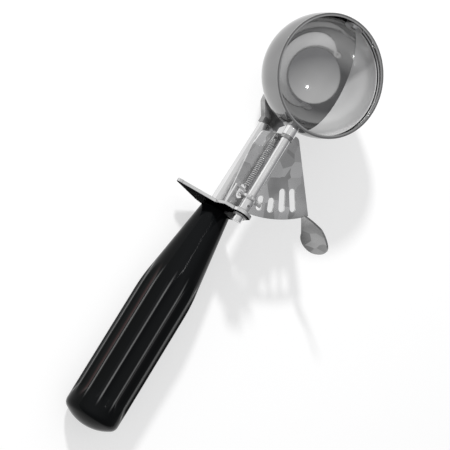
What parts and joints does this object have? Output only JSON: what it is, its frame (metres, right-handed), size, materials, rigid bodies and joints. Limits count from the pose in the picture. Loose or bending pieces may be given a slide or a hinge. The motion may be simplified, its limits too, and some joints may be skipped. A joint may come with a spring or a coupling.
{
  "type": "lever ice cream scoop",
  "caption": "Thumb-lever ice cream scoop with a deep round steel bowl, a rod-driven scraper blade, a slotted fan lever and a black fluted handle.",
  "frame": {"origin": "centre of the bowl's sphere, on the axis of the scraper rod", "axes": "+X along the rod away from the handle, +Z out of the bowl's mouth, +Y away from the thumb lever"},
  "size_m": [0.2224, 0.0783, 0.0421],
  "materials": {
    "bowl_steel": "polished",
    "blade_steel": "polished",
    "polished_steel": "polished",
    "lever_steel": "polished",
    "spring_steel": "bright wire",
    "dark_steel": "satin",
    "handle_black": "gloss"
  },
  "bodies": {
    "scoop": {"bowl": "bowl_steel", "bowl_saddle": "dark_steel", "stem": "polished_steel", "handle_tang": "dark_steel", "handle": "handle_black", "finger_guard": "polished_steel", "guard_gusset": "dark_steel", "rod_bushing": "polished_steel", "rod_lower_bushing": "polished_steel", "pivot_post": "dark_steel", "pivot_washer": "polished_steel", "pivot_rivet": "polished_steel", "spring_anchor": "polished_steel", "return_spring": "spring_steel"},
    "lever": {"thumb_lever": "lever_steel", "spring_stud": "polished_steel"},
    "spindle": {"scraper_rod": "polished_steel", "rod_collar": "dark_steel", "scraper_blade": "blade_steel", "far_pivot_pin": "polished_steel", "drive_gear": "polished_steel", "gear_sleeve": "polished_steel", "gear_pin": "dark_steel", "rod_clip": "dark_steel"}
  },
  "joints": [
    {"name": "lever_press", "type": "hinge", "parent": "scoop", "child": "lever", "pos_m": [-0.038, 0, -0.0058], "axis": [0, 0, 1], "range_deg": [-28.4, 0], "stiffness_Nm_per_rad": 0.02, "springref_deg": 45.84, "deforming": ["return_spring"]},
    {"name": "rod_spin", "type": "hinge", "parent": "scoop", "child": "spindle", "pos_m": [-0.05, 0, 0], "axis": [1, 0, 0], "range_deg": [0, 147.2]}
  ],
  "couplings": [
    {"joint": "rod_spin", "follows": "lever_press", "ratio": -5.1724}
  ]
}
